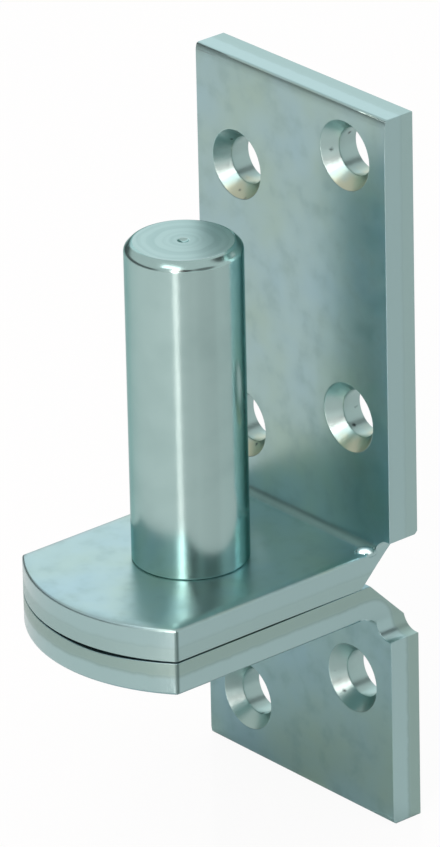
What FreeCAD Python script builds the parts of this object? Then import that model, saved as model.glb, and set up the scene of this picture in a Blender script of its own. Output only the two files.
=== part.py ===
"""Gate hinge pin: two bent angle plates laid together, with an upright turned pin fixed through both.

The origin is on the pin's axis at the shelf's top face. +Z runs up the pin and +Y points at the post.
"""
import FreeCAD, Part
import math
import os
import Sketcher
from FreeCAD import Placement, Rotation, Vector

# Driving sizes in millimetres and degrees
SIZES = {
    # Turned pin
    "pin_diameter": 16.0,
    "pin_height": 46.0,
    "pin_chamfer": 1.0,
    "centre_mark_diameter": 1.6,
    "centre_mark_depth": 0.4,
    "tenon_shoulder": 2.0,
    "tenon_clearance": 0.05,
    # Bent sheet of both plates
    "sheet_thickness": 5.0,
    "plate_width": 38.0,
    "plate_setback": 18.8,
    "shelf_reach": 22.0,
    "front_bow": 5.8,
    "bend_radius": 1.2,
    "shoulder_width": 3.0,
    "shoulder_ledge": 0.5,
    "edge_roll": 1.0,
    # Upper plate, measured from the top face of its shelf
    "upper_height": 63.3,
    "upper_neck": 0.8,
    "upper_bend_thinning": 2.7,
    # Lower plate, measured from the underside of its shelf
    "lower_height": 30.2,
    "lower_neck": 1.55,
    "lower_bend_thinning": 1.6,
    # Countersunk screw holes
    "screw_bore": 6.6,
    "countersink_width": 1.6,
    "countersink_angle": 78.0,
    "hole_side_margin": 8.0,
    "upper_end_margin": 7.3,
    "upper_foot_margin": 10.0,
    "upper_stagger": 8.0,
    "lower_end_margin": 8.7,
    "lower_foot_margin": 10.8,
}

# Sketch references: the points of an edge, the two axes and the origin
START, END, CENTRE = range(1, 4)
ACROSS_AXIS, UP_AXIS = range(-1, -3, -1)
ORIGIN = (ACROSS_AXIS, START)

# Formulas that several features share
HALF_PLATE = "(sizes.plate_width / 2)"
HALF_SHELF = f"({HALF_PLATE} - sizes.shoulder_width)"
FRONT_RADIUS = f"((sizes.front_bow ^ 2 + {HALF_SHELF} ^ 2) / (2 * sizes.front_bow))"
SHOULDER_RADIUS = "(sizes.shoulder_width - sizes.shoulder_ledge)"
BEND_LINE = "(sizes.plate_setback - sizes.bend_radius)"
OUTER_BEND = "(sizes.bend_radius + sizes.sheet_thickness)"
BACK_FACE = "(sizes.plate_setback + sizes.sheet_thickness)"
TENON_RADIUS = "(sizes.pin_diameter / 2 - sizes.tenon_shoulder)"
HOLE_COLUMN = f"({HALF_PLATE} - sizes.hole_side_margin)"

# Distance under which two points count as one
TOUCH = 1e-4

doc = FreeCAD.newDocument("gate_hinge_pin")
sheet = doc.addObject("Spreadsheet::Sheet", "sizes")


def fill_sheet():
    """Write each driving size into a cell of its own, under its name."""
    for row, (name, size) in enumerate(SIZES.items(), start=1):
        sheet.set(f"A{row}", name)
        sheet.set(f"B{row}", str(size))
        sheet.setAlias(f"B{row}", name)
    doc.recompute()


def value(formula):
    """Number that a formula of the driving sizes gives."""
    return float(sheet.evalExpression(formula))


def new_sketch(body, name, plane, offset=None):
    """Sketch on one of the body's origin planes, moved along its normal by a formula."""
    sketch = body.newObject("Sketcher::SketchObject", f"{body.Name}_{name}")
    support = next(item for item in body.Origin.OriginFeatures if item.Role == plane)
    sketch.AttachmentSupport = [(support, "")]
    sketch.MapMode = "FlatFace"
    if offset:
        sketch.setExpression("AttachmentOffset.Base.z", offset)
    return sketch


def pin_point(sketch, name, point, place):
    """Hold a point of the sketch at a place given by two formulas."""
    across, up = place
    directions = (("DistanceX", "across", across, UP_AXIS), ("DistanceY", "up", up, ACROSS_AXIS))
    for kind, word, formula, axis in directions:
        if formula == "0":
            sketch.addConstraint(Sketcher.Constraint("PointOnObject", *point, axis))
            continue
        index = sketch.addConstraint(Sketcher.Constraint(kind, *ORIGIN, *point, value(formula)))
        sketch.renameConstraint(index, f"{name}_{word}")
        sketch.setExpression(f"Constraints.{name}_{word}", formula)


def draw_loop(sketch, corners, arcs=None):
    """Closed outline through the corners.

    arcs gives the centre of the arc that leaves a corner, and whether it runs clockwise.
    """
    arcs = arcs or {}
    points = [Vector(value(across), value(up), 0) for across, up in corners]
    edges = []
    for index, start in enumerate(points):
        end = points[(index + 1) % len(points)]
        if index not in arcs:
            edges.append((sketch.addGeometry(Part.LineSegment(start, end)), START, END))
            continue
        centre_place, clockwise = arcs[index]
        centre = Vector(*map(value, centre_place), 0)
        arms = [start - centre, end - centre]
        order = [START, END]
        if clockwise:
            arms.reverse()
            order.reverse()
        circle = Part.Circle(centre, Vector(0, 0, 1), arms[0].Length)
        angles = [math.atan2(arm.y, arm.x) for arm in arms]
        edges.append((sketch.addGeometry(Part.ArcOfCircle(circle, *angles)), *order))
    for index, (edge, first, last) in enumerate(edges):
        following, its_first, _ = edges[(index + 1) % len(edges)]
        sketch.addConstraint(Sketcher.Constraint("Coincident", edge, last, following, its_first))
        pin_point(sketch, f"corner{index}", (edge, first), corners[index])
    return [edge for edge, _, _ in edges]


def hold_radius(sketch, edge, name, formula):
    """Give an arc or circle a driving radius."""
    index = sketch.addConstraint(Sketcher.Constraint("Radius", edge, value(formula)))
    sketch.renameConstraint(index, name)
    sketch.setExpression(f"Constraints.{name}", formula)


def add_feature(body, kind, name, sketch, **formulas):
    """Feature of the body made from a sketch, with sizes bound to formulas."""
    feature = body.newObject(f"PartDesign::{kind}", f"{body.Name}_{name}")
    feature.Profile = sketch
    for prop, formula in formulas.items():
        feature.setExpression(prop, formula)
    return feature


def rebuild(cut=None):
    """Recompute the document, and make sure that a cut took material away."""
    doc.recompute()
    if cut and cut.Shape.Volume >= cut.BaseFeature.Shape.Volume - TOUCH:
        raise RuntimeError(f"{cut.Name} cuts nothing")


def roll_edges(body, name, feature, chosen):
    """Round the edges of a feature that pass a test, as blanking rolls over the edge of a sheet."""
    doc.recompute()
    names = [f"Edge{i}" for i, edge in enumerate(feature.Shape.Edges, start=1) if chosen(edge)]
    fillet = body.newObject("PartDesign::Fillet", f"{body.Name}_{name}")
    fillet.Base = (feature, names)
    fillet.setExpression("Radius", "sizes.edge_roll")
    doc.recompute()


def add_shelf(body):
    """Level shelf with straight sides and a rounded front, its upper outline rolled over."""
    sketch = new_sketch(body, "shelf_outline", "XY_Plane")
    front_corner = "(sizes.front_bow - sizes.shelf_reach)"
    front_centre = ("0", f"({FRONT_RADIUS} - sizes.shelf_reach)")
    corners = [
        (HALF_SHELF, BEND_LINE),
        (HALF_SHELF, front_corner),
        (f"-{HALF_SHELF}", front_corner),
        (f"-{HALF_SHELF}", BEND_LINE),
    ]
    front = corners.index((HALF_SHELF, front_corner))
    edges = draw_loop(sketch, corners, {front: (front_centre, True)})
    hold_radius(sketch, edges[front], "front_radius", FRONT_RADIUS)
    shelf = add_feature(body, "Pad", "shelf", sketch, Length="sizes.sheet_thickness")
    shelf.Reversed = True
    bend_line = value(BEND_LINE)

    def on_upper_outline(edge):
        return abs(edge.BoundBox.ZMin) < TOUCH and edge.BoundBox.YMin < bend_line - TOUCH

    roll_edges(body, "shelf_roll", shelf, on_upper_outline)


def add_plate(body, height, shoulder):
    """Upright plate on a narrower neck, with rounded shoulders and its front outline rolled over."""
    sketch = new_sketch(body, "plate_outline", "XZ_Plane", "-sizes.plate_setback")
    neck_foot = f"({shoulder} - {SHOULDER_RADIUS})"
    ledge_start = f"({HALF_SHELF} + {SHOULDER_RADIUS})"
    right_half = [
        (HALF_SHELF, neck_foot),
        (ledge_start, shoulder),
        (HALF_PLATE, shoulder),
        (HALF_PLATE, height),
    ]
    left_half = [(f"-{across}", up) for across, up in reversed(right_half)]
    corners = right_half + left_half
    right_neck = corners.index((HALF_SHELF, neck_foot))
    left_neck = corners.index((f"-{ledge_start}", shoulder))
    arcs = {
        right_neck: ((ledge_start, neck_foot), True),
        left_neck: ((f"-{ledge_start}", neck_foot), True),
    }
    edges = draw_loop(sketch, corners, arcs)
    hold_radius(sketch, edges[right_neck], "right_shoulder", SHOULDER_RADIUS)
    hold_radius(sketch, edges[left_neck], "left_shoulder", SHOULDER_RADIUS)
    plate = add_feature(body, "Pad", "plate", sketch, Length="sizes.sheet_thickness")
    plate.Reversed = True
    front_face = value("sizes.plate_setback")
    shoulder_level = value(shoulder)

    def on_front_outline(edge):
        return abs(edge.BoundBox.YMax - front_face) < TOUCH and edge.BoundBox.ZMax > shoulder_level + TOUCH

    roll_edges(body, "plate_roll", plate, on_front_outline)


def add_bend(body, shoulder, thinning):
    """Bend that carries the plate on the shelf, thinned by a flat on its outer corner."""
    sketch = new_sketch(body, "bend_profile", "YZ_Plane")
    underside = "-sizes.sheet_thickness"
    corners = [
        (BEND_LINE, "0"),
        ("sizes.plate_setback", "sizes.bend_radius"),
        ("sizes.plate_setback", shoulder),
        (BACK_FACE, shoulder),
        (BACK_FACE, "sizes.bend_radius"),
        (BEND_LINE, underside),
    ]
    inner = corners.index((BEND_LINE, "0"))
    outer = corners.index((BACK_FACE, "sizes.bend_radius"))
    axis = (BEND_LINE, "sizes.bend_radius")
    edges = draw_loop(sketch, corners, {inner: (axis, False), outer: (axis, True)})
    hold_radius(sketch, edges[inner], "inner_bend", "sizes.bend_radius")
    hold_radius(sketch, edges[outer], "outer_bend", OUTER_BEND)
    bend = add_feature(body, "Pad", "bend", sketch, Length=f"2 * {HALF_SHELF}")
    bend.SideType = "Symmetric"
    doc.recompute()

    # The flat slopes at 45 degrees, so both of its legs are as long, from the sharp outer corner
    flat = f"((2 - sqrt(2)) * {OUTER_BEND} + sqrt(2) * {thinning})"
    sketch = new_sketch(body, "flat_profile", "YZ_Plane")
    draw_loop(sketch, [
        (f"({BACK_FACE} - {flat})", underside),
        (BACK_FACE, underside),
        (BACK_FACE, f"({flat} - sizes.sheet_thickness)"),
    ])
    cut = add_feature(body, "Pocket", "bend_flat", sketch, Length="sizes.plate_width")
    cut.SideType = "Symmetric"
    rebuild(cut)


def add_screw_holes(body, places):
    """Countersunk screw holes through the plate at the given places."""
    sketch = new_sketch(body, "screw_places", "XZ_Plane", "-sizes.plate_setback")
    radius = "sizes.screw_bore / 2"
    for index, place in enumerate(places):
        centre = Vector(*map(value, place), 0)
        edge = sketch.addGeometry(Part.Circle(centre, Vector(0, 0, 1), value(radius)))
        pin_point(sketch, f"hole{index}", (edge, CENTRE), place)
        hold_radius(sketch, edge, f"hole{index}_radius", radius)
    doc.recompute()
    hole = add_feature(body, "Hole", "screw_holes", sketch)
    hole.ThreadType = "None"
    hole.DepthType = "ThroughAll"
    hole.HoleCutType = "Countersink"
    hole.HoleCutCustomValues = True
    hole.setExpression("Diameter", "sizes.screw_bore")
    hole.setExpression("HoleCutDiameter", "sizes.screw_bore + 2 * sizes.countersink_width")
    hole.setExpression("HoleCutCountersinkAngle", "sizes.countersink_angle")
    rebuild(hole)


def add_tenon_hole(body):
    """Hole through the shelf for the pin's tenon."""
    sketch = new_sketch(body, "tenon_hole_outline", "XY_Plane")
    radius = f"{TENON_RADIUS} + sizes.tenon_clearance"
    edge = sketch.addGeometry(Part.Circle(Vector(), Vector(0, 0, 1), value(radius)))
    pin_point(sketch, "centre", (edge, CENTRE), ("0", "0"))
    hold_radius(sketch, edge, "tenon_hole_radius", radius)
    cut = add_feature(body, "Pocket", "tenon_hole", sketch, Length="sizes.sheet_thickness")
    rebuild(cut)


def build_angle_plate(which, screw_places):
    """Angle plate in its own frame: its shelf lies under z = 0 and its plate rises at the back."""
    body = doc.addObject("PartDesign::Body", f"{which}_angle_plate")
    shoulder = f"(sizes.bend_radius + sizes.{which}_neck)"
    add_shelf(body)
    add_plate(body, f"sizes.{which}_height", shoulder)
    add_bend(body, shoulder, f"sizes.{which}_bend_thinning")
    add_screw_holes(body, screw_places)
    add_tenon_hole(body)
    return body


def build_hinge_pin():
    """Turned pin with a chamfered end, on a tenon that passes through both shelves."""
    body = doc.addObject("PartDesign::Body", "hinge_pin")
    sketch = new_sketch(body, "turning_profile", "XZ_Plane")
    tenon_end = "-2 * sizes.sheet_thickness"
    pin_side = "sizes.pin_diameter / 2"
    draw_loop(sketch, [
        ("0", tenon_end),
        (TENON_RADIUS, tenon_end),
        (TENON_RADIUS, "0"),
        (pin_side, "0"),
        (pin_side, "sizes.pin_height - sizes.pin_chamfer"),
        (f"{pin_side} - sizes.pin_chamfer", "sizes.pin_height"),
        ("sizes.centre_mark_diameter / 2", "sizes.pin_height"),
        ("0", "sizes.pin_height - sizes.centre_mark_depth"),
    ])
    turning = add_feature(body, "Revolution", "turning", sketch)
    turning.ReferenceAxis = (sketch, ["V_Axis"])
    doc.recompute()
    return body


def lay_under(body):
    """Turn an angle plate over and lay its shelf against the underside of the other one."""
    body.Placement = Placement(Vector(), Rotation(Vector(0, 1, 0), 180))
    body.setExpression("Placement.Base.z", "-2 * sizes.sheet_thickness")
    doc.recompute()


def write_parts(bodies):
    """Check every object, then write each piece to a file of its own."""
    for item in doc.Objects:
        if {"Invalid", "Error"} & set(item.State):
            raise RuntimeError(f"{item.Name} failed: {item.State}")
    for body in bodies:
        if body.Shape.isNull() or not body.Shape.isValid():
            raise RuntimeError(f"{body.Label} has no valid solid")
    os.makedirs("parts", exist_ok=True)
    for body in bodies:
        body.Shape.exportStep(f"parts/{body.Label}.step")


fill_sheet()

# The right-hand hole of each row is the one nearer the plate's end
upper_top = "(sizes.upper_height - sizes.upper_end_margin)"
upper_plate = build_angle_plate("upper", [
    (HOLE_COLUMN, upper_top),
    (f"-{HOLE_COLUMN}", f"({upper_top} - sizes.upper_stagger)"),
    (HOLE_COLUMN, "(sizes.upper_foot_margin + sizes.upper_stagger)"),
    (f"-{HOLE_COLUMN}", "sizes.upper_foot_margin"),
])
lower_plate = build_angle_plate("lower", [
    (HOLE_COLUMN, "(sizes.lower_height - sizes.lower_end_margin)"),
    (f"-{HOLE_COLUMN}", "sizes.lower_foot_margin"),
])
lay_under(lower_plate)
write_parts([upper_plate, lower_plate, build_hinge_pin()])
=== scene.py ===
"""Looks of the gate hinge pin: two bent, zinc-plated angle plates and a turned pin, on a pale studio floor."""

import logging
import math
from dataclasses import dataclass
from enum import Enum
from functools import partial
from typing import Any, Callable

import bmesh
import bpy
from mathutils import Matrix, Vector


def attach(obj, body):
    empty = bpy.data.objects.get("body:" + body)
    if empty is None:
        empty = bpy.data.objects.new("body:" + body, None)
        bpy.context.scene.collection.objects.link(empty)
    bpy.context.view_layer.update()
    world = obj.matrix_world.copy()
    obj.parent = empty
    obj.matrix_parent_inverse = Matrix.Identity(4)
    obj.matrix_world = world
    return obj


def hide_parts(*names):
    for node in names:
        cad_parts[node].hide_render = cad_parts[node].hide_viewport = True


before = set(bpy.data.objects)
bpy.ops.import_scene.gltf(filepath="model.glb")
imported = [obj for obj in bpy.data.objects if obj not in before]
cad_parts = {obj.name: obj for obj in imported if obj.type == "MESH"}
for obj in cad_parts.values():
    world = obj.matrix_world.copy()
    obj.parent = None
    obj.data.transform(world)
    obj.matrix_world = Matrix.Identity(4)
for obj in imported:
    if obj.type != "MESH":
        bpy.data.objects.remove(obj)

MM = 0.001
Pair = tuple[float, float]
Point = tuple[float, float, float]
logger = logging.getLogger("gate_hinge_pin")

# Modelling limits in metres: points this near are one, faces this narrow have no area, plane cuts are this exact
SAME_POINT = 1e-6
NO_AREA = 2e-6
CUT_SLACK = 1e-7
# Decimals of a metre that a point keeps before two solids are joined
GRID_DECIMALS = 6
# Cosine past which two directions count as the same
ALIGNED = 0.9
# Broken edges: widest rounding in mm, least angle in degrees, steps of the rounding, weight of the broad faces
WIDEST_ROUNDING = 0.5
SHARP_ANGLE = 24.0
ROUNDING_STEPS = 3
FLAT_FACE_WEIGHT = 50
# Paired inputs of a Map Range node
FROM, TO = ("From Min", "From Max"), ("To Min", "To Max")
# Sockets of a Mix node by number, because those for values and those for colours share their names
SHARE, FIRST_VALUE, SECOND_VALUE, FIRST_COLOUR, SECOND_COLOUR = 0, 2, 3, 6, 7
MIXED_VALUE, MIXED_COLOUR = 0, 2
# Noise lies round a half
NOISE_MIDDLE = 0.5
RELIEF_STRENGTH = 0.6


class Pick(Enum):
    """Kind of mesh element that a selection is made of."""

    EDGES = "EDGE"
    FACES = "FACE"


class Join(Enum):
    """Way in which one solid is joined to another."""

    ADD = "UNION"
    CUT = "DIFFERENCE"


class Surface(Enum):
    """Kind of surface on a bent plate, in the order of its material slots."""

    FACE = 0
    EDGE = 1
    BORE = 2


def linear(colour: str) -> tuple[float, float, float, float]:
    """Turn an sRGB hex value into a linear colour.

    Args:
        colour: Hex value such as "#98B2B0".

    Returns:
        Red, green, blue and an alpha of 1.
    """
    channels = [int(colour[start:start + 2], 16) / 255 for start in (1, 3, 5)]
    red, green, blue = [c / 12.92 if c <= 0.04045 else ((c + 0.055) / 1.055) ** 2.4 for c in channels]
    return red, green, blue, 1.0


def add_node(
    tree: bpy.types.NodeTree, kind: str, inputs: dict[Any, Any] | None = None, **settings: Any,
) -> bpy.types.Node:
    """Add a node with its settings, and fill or link its inputs.

    Args:
        tree: Node tree that gets the node.
        kind: Blender's name for the type of node.
        inputs: Value, or output socket to link, for each input by name or number. A pair of names takes a pair.
        settings: Properties of the node itself.

    Returns:
        The new node.
    """
    node = tree.nodes.new(kind)
    for name, setting in settings.items():
        setattr(node, name, setting)
    for keys, contents in (inputs or {}).items():
        for key, content in zip(keys, contents) if isinstance(keys, tuple) else ((keys, contents),):
            if isinstance(content, bpy.types.NodeSocket):
                tree.links.new(content, node.inputs[key])
            else:
                node.inputs[key].default_value = content
    return node


def new_material(name: str) -> tuple[bpy.types.Material, bpy.types.NodeTree]:
    """Make an empty node material.

    Args:
        name: Name of the real material and of how its surface was made.

    Returns:
        The material and its node tree.
    """
    material = bpy.data.materials.new(name)
    material.use_nodes = True
    material.node_tree.nodes.clear()
    return material, material.node_tree


def lay_zinc(
    tree: bpy.types.NodeTree, colour: Any, roughness: Any, relief: Any, depth: Any, extra: dict[str, Any] | None = None,
) -> None:
    """End a zinc finish: bare metal with a fine relief, linked to the material's output.

    Args:
        tree: Node tree of the finish.
        colour: Output with the metal's colour.
        roughness: Output with the roughness, or its value.
        relief: Output with the height of the relief, from 0 to 1.
        depth: Output with the depth of the relief in metres, or its value.
        extra: Further inputs of the shader by name.
    """
    bump = add_node(tree, "ShaderNodeBump", {"Height": relief, "Strength": RELIEF_STRENGTH, "Distance": depth})
    shader = add_node(tree, "ShaderNodeBsdfPrincipled", {
        "Base Color": colour, "Metallic": 1.0, "Roughness": roughness, "Normal": bump.outputs[0], **(extra or {}),
    })
    add_node(tree, "ShaderNodeOutputMaterial", {"Surface": shader.outputs[0]})


def select_only(piece: bpy.types.Object) -> None:
    """Make a piece the active object and the only one selected.

    Args:
        piece: Object that the next operators act on.
    """
    bpy.ops.object.select_all(action="DESELECT")
    piece.select_set(True)
    bpy.context.view_layer.objects.active = piece


class Bench:
    """Workbench that holds one mesh in edit mode while the modelling operators shape it."""

    def __init__(self, piece: bpy.types.Object) -> None:
        """Take a piece to work on."""
        self.piece = piece

    def __enter__(self) -> "Bench":
        """Open the piece in edit mode."""
        select_only(self.piece)
        bpy.ops.object.mode_set(mode="EDIT")
        return self

    def __exit__(self, *_: Any) -> None:
        """Put the shaped mesh back into its object."""
        bpy.ops.object.mode_set(mode="OBJECT")

    def pick(self, kind: Pick, test: Callable[[Any], bool]) -> None:
        """Select the elements of one kind that pass a test, and nothing else.

        Args:
            kind: Edges or faces.
            test: Says of an element whether it is wanted.
        """
        bpy.ops.mesh.select_mode(type=kind.value)
        bpy.ops.mesh.select_all(action="DESELECT")
        mesh = bmesh.from_edit_mesh(self.piece.data)
        for element in mesh.edges if kind is Pick.EDGES else mesh.faces:
            if test(element):
                element.select_set(True)
        mesh.select_flush_mode()
        bmesh.update_edit_mesh(self.piece.data)

    def slice(self, place: Point, normal: Point, keep_outer: bool = False, fill: bool = False) -> None:
        """Cut the whole mesh with a plane.

        Args:
            place: A point of the plane, in mm.
            normal: Direction of the side that is cut away.
            keep_outer: Whether the cut only adds edges and takes nothing away.
            fill: Whether the open section is closed with a face.
        """
        bpy.ops.mesh.select_all(action="SELECT")
        bpy.ops.mesh.bisect(
            plane_co=Vector(place) * MM, plane_no=normal, threshold=CUT_SLACK,
            clear_outer=not keep_outer, use_fill=fill,
        )

    def pull(self, move: Point) -> None:
        """Extrude the selection by a move in mm."""
        bpy.ops.mesh.extrude_region_move(TRANSFORM_OT_translate={"value": Vector(move) * MM})

    def round_over(self, radius: float, steps: int) -> None:
        """Bevel the selected edges with a radius in mm."""
        bpy.ops.mesh.bevel(
            offset=radius * MM, offset_type="OFFSET", segments=steps, profile=0.5, affect="EDGES", clamp_overlap=False,
        )

    def crown(self, steps: tuple[Pair, ...]) -> None:
        """Raise the selected face in steps of width and rise in mm, from its rim inwards."""
        for width, rise in steps:
            bpy.ops.mesh.inset(thickness=width * MM, depth=rise * MM)

    def tidy(self) -> None:
        """Merge doubled points, take out faces without area and turn the rest outwards."""
        bpy.ops.mesh.select_all(action="SELECT")
        bpy.ops.mesh.remove_doubles(threshold=SAME_POINT)
        bpy.ops.mesh.dissolve_degenerate(threshold=NO_AREA)
        bpy.ops.mesh.select_all(action="SELECT")
        bpy.ops.mesh.normals_make_consistent(inside=False)


def lies_at(element: Any, axis: int, place: float) -> bool:
    """Say whether all points of an edge or face lie at one place along an axis.

    Args:
        element: Edge or face of an open mesh.
        axis: 0, 1 or 2 for x, y or z.
        place: Coordinate in mm.

    Returns:
        Whether they do.
    """
    return all(abs(point.co[axis] - place * MM) < SAME_POINT for point in element.verts)


def settle(piece: bpy.types.Object) -> bpy.types.Object:
    """Put an object's place, turn and scale into its mesh.

    Args:
        piece: Object to settle.

    Returns:
        The same object.
    """
    select_only(piece)
    bpy.ops.object.transform_apply(location=True, rotation=True, scale=True)
    return piece


def add_block(low: Point, high: Point) -> bpy.types.Object:
    """Add a block that fills the space between two corners.

    Args:
        low: Lowest corner in mm.
        high: Highest corner in mm.

    Returns:
        The block, with its place in its mesh.
    """
    bpy.ops.object.select_all(action="DESELECT")
    size = (Vector(high) - Vector(low)) * MM
    bpy.ops.mesh.primitive_cube_add(size=1, location=(Vector(high) + Vector(low)) * MM / 2, scale=size)
    return settle(bpy.context.object)


def apply_modifier(piece: bpy.types.Object, modifier: bpy.types.Modifier) -> None:
    """Apply one modifier of a piece."""
    select_only(piece)
    bpy.ops.object.modifier_apply(modifier=modifier.name)


def combine(piece: bpy.types.Object, tool: bpy.types.Object, how: Join) -> None:
    """Join a tool solid to a piece and remove the tool.

    Args:
        piece: Solid that is changed.
        tool: Solid that is added or cut away.
        how: Whether it is added or cut away.
    """
    for solid in (piece, tool):
        # On one fine grid, faces that should lie in one plane do
        for point in solid.data.vertices:
            point.co = [round(place, GRID_DECIMALS) for place in point.co]
    modifier = piece.modifiers.new(how.name.title(), "BOOLEAN")
    modifier.operation = how.value
    modifier.solver = "EXACT"
    modifier.object = tool
    apply_modifier(piece, modifier)
    bpy.data.meshes.remove(tool.data)


def break_edges(piece: bpy.types.Object, width: Callable[[bmesh.types.BMEdge], float]) -> None:
    """Round each sharp edge by its own width, and let the broad faces set the shading.

    Args:
        piece: Finished solid.
        width: Gives an edge's rounding in mm.
    """
    with Bench(piece):
        mesh = bmesh.from_edit_mesh(piece.data)
        weight = mesh.edges.layers.float.new("bevel_weight_edge")
        for edge in mesh.edges:
            if edge.calc_face_angle() > math.radians(SHARP_ANGLE):
                edge[weight] = width(edge) / WIDEST_ROUNDING
                edge.smooth = edge[weight] > 0
        bmesh.update_edit_mesh(piece.data)
    bpy.ops.object.shade_smooth(keep_sharp_edges=True)
    bevel = piece.modifiers.new("Broken edges", "BEVEL")
    bevel.limit_method = "WEIGHT"
    bevel.width = WIDEST_ROUNDING * MM
    bevel.segments = ROUNDING_STEPS
    bevel.use_clamp_overlap = False
    apply_modifier(piece, bevel)
    normals = piece.modifiers.new("Flat faces", "WEIGHTED_NORMAL")
    normals.mode = "FACE_AREA"
    normals.weight = FLAT_FACE_WEIGHT
    normals.keep_sharp = True
    apply_modifier(piece, normals)


@dataclass(frozen=True)
class RolledZinc:
    """Blue-passivated zinc on hot-rolled sheet. Sizes in mm.

    The plating follows the rolled skin, so the eye sees a soft grey-teal mirror that waves a little, with faint clouds
    and small stains. Along the inside of the bend the colour is painted darker, as painted shade, and the zinc is
    rougher.
    """

    name: str
    setback: float
    thickness: float
    colour: str = "#A2C4C5"
    blue_colour: str = "#9FC3CA"
    green_colour: str = "#A3C3BB"
    stain_colour: str = "#8FB1B0"
    bend_shade_colour: str = "#7BA19F"
    roughness: float = 0.31
    roughness_range: Pair = (-0.03, 0.04)
    roughness_span: Pair = (0.3, 0.7)
    cloud_size: float = 14.0
    cloud_span: Pair = (0.35, 0.68)
    wave_depth: float = 0.05
    stain_size: float = 3.0
    stain_span: Pair = (0.48, 0.76)
    stain_share: float = 0.35
    bend_shade_span: Pair = (1.2, 0.6)
    recess_roughness: float = 0.22

    def make(self) -> bpy.types.Material:
        """Build the node material.

        Returns:
            The material, ready for a slot of the piece.
        """
        material, tree = new_material(self.name)
        add = partial(add_node, tree)
        place = add("ShaderNodeTexCoord").outputs["Object"]
        clouds = add("ShaderNodeTexNoise", {"Vector": place, "Scale": 1 / (self.cloud_size * MM), "Detail": 3.0})
        stains = add("ShaderNodeTexNoise", {"Vector": place, "Scale": 1 / (self.stain_size * MM), "Detail": 2.0})
        tints = add("ShaderNodeValToRGB", {"Fac": clouds.outputs["Fac"]})
        ramp = tints.color_ramp.elements
        ramp[0].color, ramp[1].color = linear(self.blue_colour), linear(self.green_colour)
        ramp[0].position, ramp[1].position = self.cloud_span
        ramp.new(NOISE_MIDDLE).color = linear(self.colour)
        stained = add("ShaderNodeMapRange", {
            "Value": stains.outputs["Fac"], FROM: self.stain_span, "To Max": self.stain_share,
        }, interpolation_type="SMOOTHSTEP")
        tint = add("ShaderNodeMix", {
            SHARE: stained.outputs[0], FIRST_COLOUR: tints.outputs[0], SECOND_COLOUR: linear(self.stain_colour),
        }, data_type="RGBA")
        # Distance in mm from the inner corner of the bend, where shade is painted into the colour: folded at the seam
        # for both plates
        local = add("ShaderNodeMapping", {
            "Vector": place, "Location": (0, -self.setback, self.thickness), "Scale": [1 / MM] * 3,
        })
        folded = add("ShaderNodeVectorMath", {0: local.outputs[0]}, operation="ABSOLUTE")
        apart = add("ShaderNodeVectorMath", {
            0: folded.outputs[0], 1: (0, 1, 1), 2: (0, 0, -self.thickness),
        }, operation="MULTIPLY_ADD")
        corner = add("ShaderNodeVectorMath", {0: apart.outputs[0]}, operation="LENGTH")
        bend_shade = add("ShaderNodeMapRange", {
            "Value": corner.outputs["Value"], FROM: self.bend_shade_span,
        }, interpolation_type="SMOOTHSTEP")
        # Painted shade: the colour darkens towards the bend's inner corner
        tint = add("ShaderNodeMix", {
            SHARE: bend_shade.outputs[0], FIRST_COLOUR: tint.outputs[MIXED_COLOUR],
            SECOND_COLOUR: linear(self.bend_shade_colour),
        }, data_type="RGBA")
        rough = add("ShaderNodeMapRange", {
            "Value": stains.outputs["Fac"], FROM: self.roughness_span,
            TO: [self.roughness + change for change in self.roughness_range],
        })
        rough = add("ShaderNodeMath", {
            0: bend_shade.outputs[0], 1: self.recess_roughness, 2: rough.outputs[0],
        }, operation="MULTIPLY_ADD")
        lay_zinc(tree, tint.outputs[MIXED_COLOUR], rough.outputs[0], clouds.outputs["Fac"], self.wave_depth * MM)
        return material


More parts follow.
